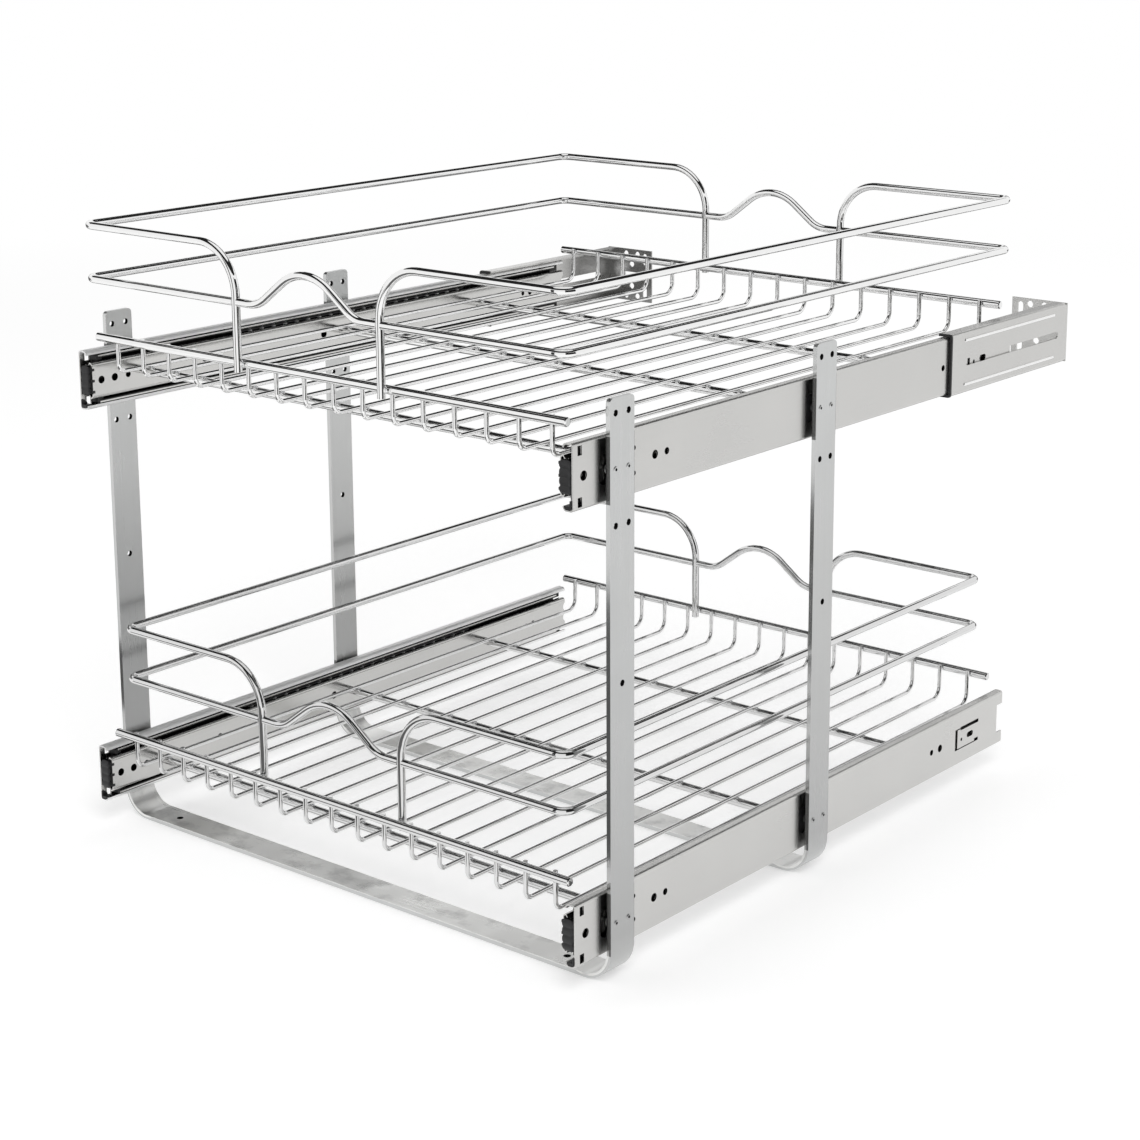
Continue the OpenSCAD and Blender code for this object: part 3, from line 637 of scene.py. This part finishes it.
def copy_of(piece, name, mirrored, lift):
    """A copy with its own mesh, at the other side or at another height."""
    twin = piece.copy()
    twin.data = piece.data.copy()
    bpy.context.scene.collection.objects.link(twin)
    twin.name = name
    pick(twin)
    twin.location.z = lift
    if mirrored:
        twin.scale.x = -1.0
    settle()
    outwards()
    return twin


def finish_piece(piece, body, material, smooth):
    """Smooths a piece up to an angle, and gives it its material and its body."""
    pick(piece)
    bpy.ops.object.shade_smooth_by_angle(angle=math.radians(smooth))
    piece.data.materials.clear()
    piece.data.materials.append(material)
    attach(piece, body)


def weld_places(level, sizes):
    """The middle and half size of every weld bead of one basket."""
    low, high = (Vector(corner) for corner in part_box(f"{level}_floor_wires"))
    rods = [Vector(corner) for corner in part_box(f"{level}_cross_rods")]
    post = [Vector(corner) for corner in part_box(f"{level}_right_top_rail")]
    end_rods = {end: [Vector(corner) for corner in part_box(f"{level}_{end}_rod")]
                for end in ("front", "rear")}
    rail_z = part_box(f"{level}_side_rails")[0][2] + RAIL_RADIUS
    sink = 0.0003
    first, last = low.x + WIRE_RADIUS, high.x - WIRE_RADIUS
    front = rods[0].y + ROD_RADIUS
    places = []
    for k in range(WIRE_COUNTS[level]):
        x = first + (last - first) * k / (WIRE_COUNTS[level] - 1)
        for y in (front, front + MIDDLE_ROD, rods[1].y - ROD_RADIUS):
            places.append((Vector((x, y, rods[1].z - sink)), sizes.floor_bead))
        for end, rod in end_rods.items():
            y = rod[1].y if end == "front" else rod[0].y
            places.append((Vector((x, y, (rod[0].z + rod[1].z) / 2)), sizes.end_bead))
    for x in (-post[0].x - RAIL_RADIUS, post[0].x + RAIL_RADIUS):
        for end, y in (("front", post[0].y + RAIL_RADIUS), ("rear", post[1].y - RAIL_RADIUS)):
            middle = (end_rods[end][0] + end_rods[end][1]) / 2
            places.append((Vector((x, y, rail_z)), sizes.rail_bead))
            places.append((Vector((x, (y + middle.y) / 2, middle.z)), sizes.post_bead))
    return places


def weld_bead():
    """A round bead of radius 1, drawn in at its waist, where the wire passes."""
    start_piece()
    bpy.ops.mesh.primitive_uv_sphere_add(segments=8, ring_count=6, radius=1.0)
    edit(lambda co: abs(co.x) < 0.3)
    bpy.ops.transform.resize(value=(1.0, 0.72, 0.72), center_override=(0.0, 0.0, 0.0))
    settle()
    return bpy.context.object


# ---------- properties ----------

class FinishSettings(bpy.types.PropertyGroup):
    """Colours of the finishes."""
    chrome: bpy.props.FloatVectorProperty(
        name="Chrome", description="Colour of the chrome plated wire", subtype="COLOR",
        default=(0.9, 0.9, 0.895), min=0.0, max=1.0)
    strap: bpy.props.FloatVectorProperty(
        name="Strap", description="Colour of the plated straps", subtype="COLOR",
        default=(0.66, 0.66, 0.64), min=0.0, max=1.0)
    slide: bpy.props.FloatVectorProperty(
        name="Slide", description="Colour of the plated slides and brackets", subtype="COLOR",
        default=(0.635, 0.63, 0.615), min=0.0, max=1.0)
    cage: bpy.props.FloatVectorProperty(
        name="Ball cage", description="Colour of the ball cages", subtype="COLOR",
        default=(0.015, 0.015, 0.016), min=0.0, max=1.0)
    black: bpy.props.FloatVectorProperty(
        name="Black plastic", description="Colour of the sleeves, stops and retainers",
        subtype="COLOR", default=(0.01, 0.01, 0.011), min=0.0, max=1.0)
    cushion: bpy.props.FloatVectorProperty(
        name="Cushion", description="Colour of the end cushions", subtype="COLOR",
        default=(0.02, 0.02, 0.021), min=0.0, max=1.0)


class CushionSettings(bpy.types.PropertyGroup):
    """Sizes of the ribbed cushions."""
    ribs: bpy.props.IntProperty(
        name="Ribs", description="Ribs of a cushion, one above the other", default=4, min=2)
    groove: bpy.props.FloatProperty(
        name="Groove", description="How deep the grooves between the ribs are",
        unit="LENGTH", default=0.0009, min=0.0)
    end_inset: bpy.props.FloatProperty(
        name="End inset", description="How far the top and the bottom are drawn in",
        unit="LENGTH", default=0.0017, min=0.0)
    corner: bpy.props.FloatProperty(
        name="Corner", description="Rounding of the outer front corner",
        unit="LENGTH", default=0.0022, min=0.0)
    edge: bpy.props.FloatProperty(
        name="Edge", description="Rounding of the other upright edges",
        unit="LENGTH", default=0.0009, min=0.0)
    hook_pitch: bpy.props.FloatProperty(
        name="Hook pitch", description="Distance from one small hook to the next",
        unit="LENGTH", default=0.0086, min=0.0)


class WeldSettings(bpy.types.PropertyGroup):
    """Half sizes of the weld beads."""
    floor_bead: bpy.props.FloatVectorProperty(
        name="Floor bead", description="Where a floor wire crosses a cross rod",
        subtype="XYZ", unit="LENGTH", default=(0.0028, 0.0018, 0.0013), min=0.0)
    end_bead: bpy.props.FloatVectorProperty(
        name="End bead", description="Where an upturned wire meets its top rod",
        subtype="XYZ", unit="LENGTH", default=(0.0028, 0.0013, 0.0019), min=0.0)
    rail_bead: bpy.props.FloatVectorProperty(
        name="Rail bead", description="Where the lower rail meets a post",
        subtype="XYZ", unit="LENGTH", default=(0.0044, 0.0027, 0.0032), min=0.0)
    post_bead: bpy.props.FloatVectorProperty(
        name="Post bead", description="Where a post meets the top rod",
        subtype="XYZ", unit="LENGTH", default=(0.0036, 0.0016, 0.003), min=0.0)


class StageSettings(bpy.types.PropertyGroup):
    """Camera and floor."""
    camera_place: bpy.props.FloatVectorProperty(
        name="Camera place", description="Where the camera stands", subtype="TRANSLATION",
        default=(1.2227, -1.4832, 0.7474))
    camera_turn: bpy.props.FloatProperty(
        name="Camera turn", description="How far round from the front the camera looks",
        subtype="ANGLE", default=math.radians(38.75))
    camera_tilt: bpy.props.FloatProperty(
        name="Camera tilt", description="How far down the camera looks",
        subtype="ANGLE", default=math.radians(13.19))
    camera_shift: bpy.props.FloatVectorProperty(
        name="Camera shift", description="Lens shift to the right and up, in frame widths",
        size=2, default=(-0.05, -0.12))
    focal_length: bpy.props.FloatProperty(
        name="Focal length", description="Focal length in millimetres on a 36 mm wide sensor",
        default=2452.0 * SENSOR_WIDTH / PHOTO_WIDTH)
    floor_size: bpy.props.FloatProperty(
        name="Floor size", description="Side of the floor", unit="LENGTH", default=24.0)


# ---------- operators ----------

class FinishWires(bpy.types.Operator):
    """Chrome finish of all wires, rods and rails of both baskets"""
    bl_idname = "basket.finish_wires"
    bl_label = "Finish wires"

    def execute(self, context):
        chrome = chrome_material(context.scene.basket_finish.chrome)
        for level in LEVELS:
            for part in WIRE_PARTS:
                assign(f"{level}_{part}", chrome)
        return {"FINISHED"}


class FinishStraps(bpy.types.Operator):
    """Plated finish of the two straps and their rivets"""
    bl_idname = "basket.finish_straps"
    bl_label = "Finish straps"

    def execute(self, context):
        steel = strap_material(context.scene.basket_finish.strap)
        for node in ("front_strap", "rear_strap", "strap_rivets"):
            assign(node, steel)
        return {"FINISHED"}


class FinishSlides(bpy.types.Operator):
    """Finishes of the slide members, cages and balls"""
    bl_idname = "basket.finish_slides"
    bl_label = "Finish slides"

    def execute(self, context):
        settings = context.scene.basket_finish
        for member in ("outer", "middle", "drawer"):
            steel = sheet_material(f"slide_steel_{member}", settings.slide, member)
            for corner in CORNERS:
                assign(f"{corner}_{member}_member", steel)
        cage = plastic_material("cage_plastic", settings.cage, ROUGH["cage"])
        ball = chrome_material(settings.chrome, "ball_steel", BALL_METALLIC)
        for corner in CORNERS:
            for layer in ("outer", "inner"):
                assign(f"{corner}_{layer}_cage", cage)
                assign(f"{corner}_{layer}_balls", ball)
        return {"FINISHED"}


class FinishBrackets(bpy.types.Operator):
    """Finishes of the rear brackets, their sleeves, the stops and the retainers"""
    bl_idname = "basket.finish_brackets"
    bl_label = "Finish brackets"

    def execute(self, context):
        settings = context.scene.basket_finish
        steel = sheet_material("bracket_steel", settings.slide, "bracket")
        black = plastic_material("black_plastic", settings.black, ROUGH["black"])
        for side in SIDES:
            assign(f"{side}_rear_bracket", steel)
            assign(f"{side}_bracket_sleeve", black)
        assign("slide_retainers", black)
        for corner in CORNERS:
            assign(f"{corner}_middle_stop", black)
        return {"FINISHED"}


class BuildCushions(bpy.types.Operator):
    """Ribbed plastic cushions in the front ends of the drawer members"""
    bl_idname = "basket.build_cushions"
    bl_label = "Build cushions"

    def execute(self, context):
        colour = context.scene.basket_finish.cushion
        plastic = plastic_material("grey_plastic", colour, ROUGH["cushion"])
        parts = cushion_parts(context.scene.basket_cushion)
        first = join(parts, "upper_right_ribbed_cushion")
        for level, height in zip(LEVELS, SLIDE_HEIGHTS):
            for side in SIDES:
                piece = first
                if (level, side) != ("upper", "right"):
                    name = f"{level}_{side}_ribbed_cushion"
                    piece = copy_of(first, name, side == "left", height - SLIDE_HEIGHTS[0])
                finish_piece(piece, f"{level}_basket", plastic, smooth=40.0)
                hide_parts(f"{level}_{side}_cushion")
        return {"FINISHED"}


class WeldWires(bpy.types.Operator):
    """Small weld beads where the wires, rods and posts of the baskets meet"""
    bl_idname = "basket.weld_wires"
    bl_label = "Weld wires"

    def execute(self, context):
        chrome = bpy.data.materials["chrome_wire"]
        for level in LEVELS:
            bead = weld_bead()
            beads = []
            for place, size in weld_places(level, context.scene.basket_weld):
                twin = bead.copy()
                twin.data = bead.data.copy()
                context.scene.collection.objects.link(twin)
                twin.data.transform(Matrix.Translation(place) @ Matrix.Diagonal((*size, 1.0)))
                beads.append(twin)
            bpy.data.objects.remove(bead)
            welds = join(beads, f"{level}_basket_welds")
            finish_piece(welds, f"{level}_basket", chrome, smooth=80.0)
        return {"FINISHED"}


# ---------- stage ----------

def lit_from_background(shader, white, lamp):
    """White for the camera and for what metal shows, and a level of plain light for the rest."""
    path = shader.tree.nodes.new("ShaderNodeLightPath")
    seen = Sock(shader.tree, path.outputs["Is Camera Ray"])
    seen = seen.highest(Sock(shader.tree, path.outputs["Is Glossy Ray"]))
    seen = seen.highest(Sock(shader.tree, path.outputs["Is Transmission Ray"]))
    return seen * (white - lamp) + lamp


def floor_material():
    """White floor that keeps soft shadows near the unit and runs out into plain white."""
    s = new_shader("floor_white")
    away = s.node("VectorMath", {"operation": "LENGTH"}, {0: s.node("TexCoord", out=3)}, out=1)
    near = ((FLOOR_END - away) * (1.0 / FLOOR_FADE)).clamp()
    diffuse = s.node("BsdfDiffuse", None, {"Color": (*grey(FLOOR_GREY), 1.0)})
    added = s.glow(lit_from_background(s, FLOOR_GLOW, 0.0))
    lit = s.node("AddShader", None, {0: diffuse, 1: added})
    plain = s.glow(lit_from_background(s, 1.0, FAR_FLOOR_LIGHT))
    return s.end(s.node("MixShader", None, {0: near, 1: plain, 2: lit}))


def as_card(card, name, level):
    """Makes an object a dark card, seen only by what is glossy."""
    card.name = name
    bpy.ops.object.transform_apply(location=True, rotation=True, scale=True)
    s = new_shader(name)
    card.data.materials.append(s.end(s.glow(level)))
    card.visible_camera = False
    card.visible_diffuse = False
    card.visible_shadow = False
    card.visible_transmission = False


def flat_card(name, low, high, level):
    """A card on the floor between two corners."""
    start_piece()
    middle = ((low[0] + high[0]) / 2, (low[1] + high[1]) / 2, CARD_LIFT)
    bpy.ops.mesh.primitive_plane_add(size=1.0, location=middle)
    bpy.context.object.scale = (high[0] - low[0], high[1] - low[1], 1.0)
    as_card(bpy.context.object, name, level)


def round_card(name, radius, heights, bearings, level):
    """A curved card round the unit, between two heights and two bearings from the front."""
    low, high = heights
    start_piece()
    bpy.ops.mesh.primitive_cylinder_add(
        vertices=CARD_FACETS, radius=radius, depth=high - low, end_fill_type="NOTHING",
        location=(0.0, 0.0, (low + high) / 2))
    card = bpy.context.object
    as_card(card, name, level)
    for face in card.data.polygons:
        bearing = math.degrees(math.atan2(face.center.x, -face.center.y)) % 360.0
        face.select = not bearings[0] <= bearing <= bearings[1]
    bpy.ops.object.mode_set(mode="EDIT")
    bpy.ops.mesh.select_mode(type="FACE")
    bpy.ops.mesh.delete(type="FACE")
    bpy.ops.object.mode_set(mode="OBJECT")


def ceiling_card():
    """A level ring over the unit."""
    start_piece()
    bpy.ops.mesh.primitive_cone_add(vertices=CARD_FACETS, end_fill_type="NOTHING", **CEILING_RING)
    as_card(bpy.context.object, "ceiling_card", BLACK)


def add_floor(size):
    start_piece()
    bpy.ops.mesh.primitive_plane_add(size=size, location=(0.0, 0.0, -FLOOR_DROP))
    floor = bpy.context.object
    floor.name = "floor"
    settle()
    floor.data.materials.append(floor_material())


def add_lamp(scene, name, place, power, size):
    """A square lamp that looks at the unit and doesn't show in the chrome."""
    lamp = bpy.data.lights.new(name, "AREA")
    lamp.energy = power
    lamp.size = size
    holder = bpy.data.objects.new(name, lamp)
    scene.collection.objects.link(holder)
    holder.visible_glossy = False
    holder.location = place
    holder.rotation_euler = (LAMP_AIM - Vector(place)).to_track_quat("-Z", "Y").to_euler()


def add_camera(scene, settings):
    """The camera at the photograph's angle."""
    cam = bpy.data.objects.new("camera", bpy.data.cameras.new("camera"))
    scene.collection.objects.link(cam)
    turn, tilt = settings.camera_turn, settings.camera_tilt
    back_way = Vector((math.sin(turn) * math.cos(tilt), -math.cos(turn) * math.cos(tilt),
                       math.sin(tilt)))
    cam.location = settings.camera_place
    cam.rotation_euler = (-back_way).to_track_quat("-Z", "Y").to_euler()
    cam.data.sensor_width = SENSOR_WIDTH
    cam.data.lens = settings.focal_length
    cam.data.shift_x, cam.data.shift_y = settings.camera_shift
    cam.data.clip_start = 0.05
    scene.camera = cam


class BuildStage(bpy.types.Operator):
    """Floor, world, lamps, dark cards and the camera at the photograph's angle"""
    bl_idname = "basket.build_stage"
    bl_label = "Build stage"

    def execute(self, context):
        scene = context.scene
        scene.view_settings.view_transform = "Standard"
        add_floor(scene.basket_stage.floor_size)
        for card in ROUND_CARDS:
            round_card(*card)
        for card in FLAT_CARDS:
            flat_card(*card)
        ceiling_card()
        scene.world = bpy.data.worlds.new("studio")
        w = Shader(scene.world)
        light = lit_from_background(w, 1.0, WORLD_LIGHT)
        back = w.node("Background", None, {"Color": (1.0, 1.0, 1.0, 1.0), "Strength": light})
        w.node("OutputWorld", None, {"Surface": back})
        for lamp in LAMPS:
            add_lamp(scene, *lamp)
        add_camera(scene, scene.basket_stage)
        return {"FINISHED"}


# ---------- add-on ----------

STEPS = (FinishWires, FinishStraps, FinishSlides, FinishBrackets, BuildCushions, WeldWires,
         BuildStage)
GROUPS = {"basket_finish": FinishSettings, "basket_cushion": CushionSettings,
          "basket_weld": WeldSettings, "basket_stage": StageSettings}


class BasketPanel(bpy.types.Panel):
    """Lists the settings and steps of the basket unit"""
    bl_idname = "VIEW3D_PT_basket"
    bl_label = "Pull out basket"
    bl_space_type = "VIEW_3D"
    bl_region_type = "UI"
    bl_category = "Basket"

    def draw(self, context):
        for name in GROUPS:
            group = getattr(context.scene, name)
            for key in group.__annotations__:
                self.layout.prop(group, key)
        for step in STEPS:
            self.layout.operator(step.bl_idname)


CLASSES = (*GROUPS.values(), *STEPS, BasketPanel)


def register():
    for cls in CLASSES:
        bpy.utils.register_class(cls)
    for name, group in GROUPS.items():
        setattr(bpy.types.Scene, name, bpy.props.PointerProperty(type=group))


def unregister():
    for name in GROUPS:
        delattr(bpy.types.Scene, name)
    for cls in reversed(CLASSES):
        bpy.utils.unregister_class(cls)


def main():
    register()
    for step in STEPS:
        group, name = step.bl_idname.split(".")
        getattr(getattr(bpy.ops, group), name)()


if __name__ == "__main__":
    main()
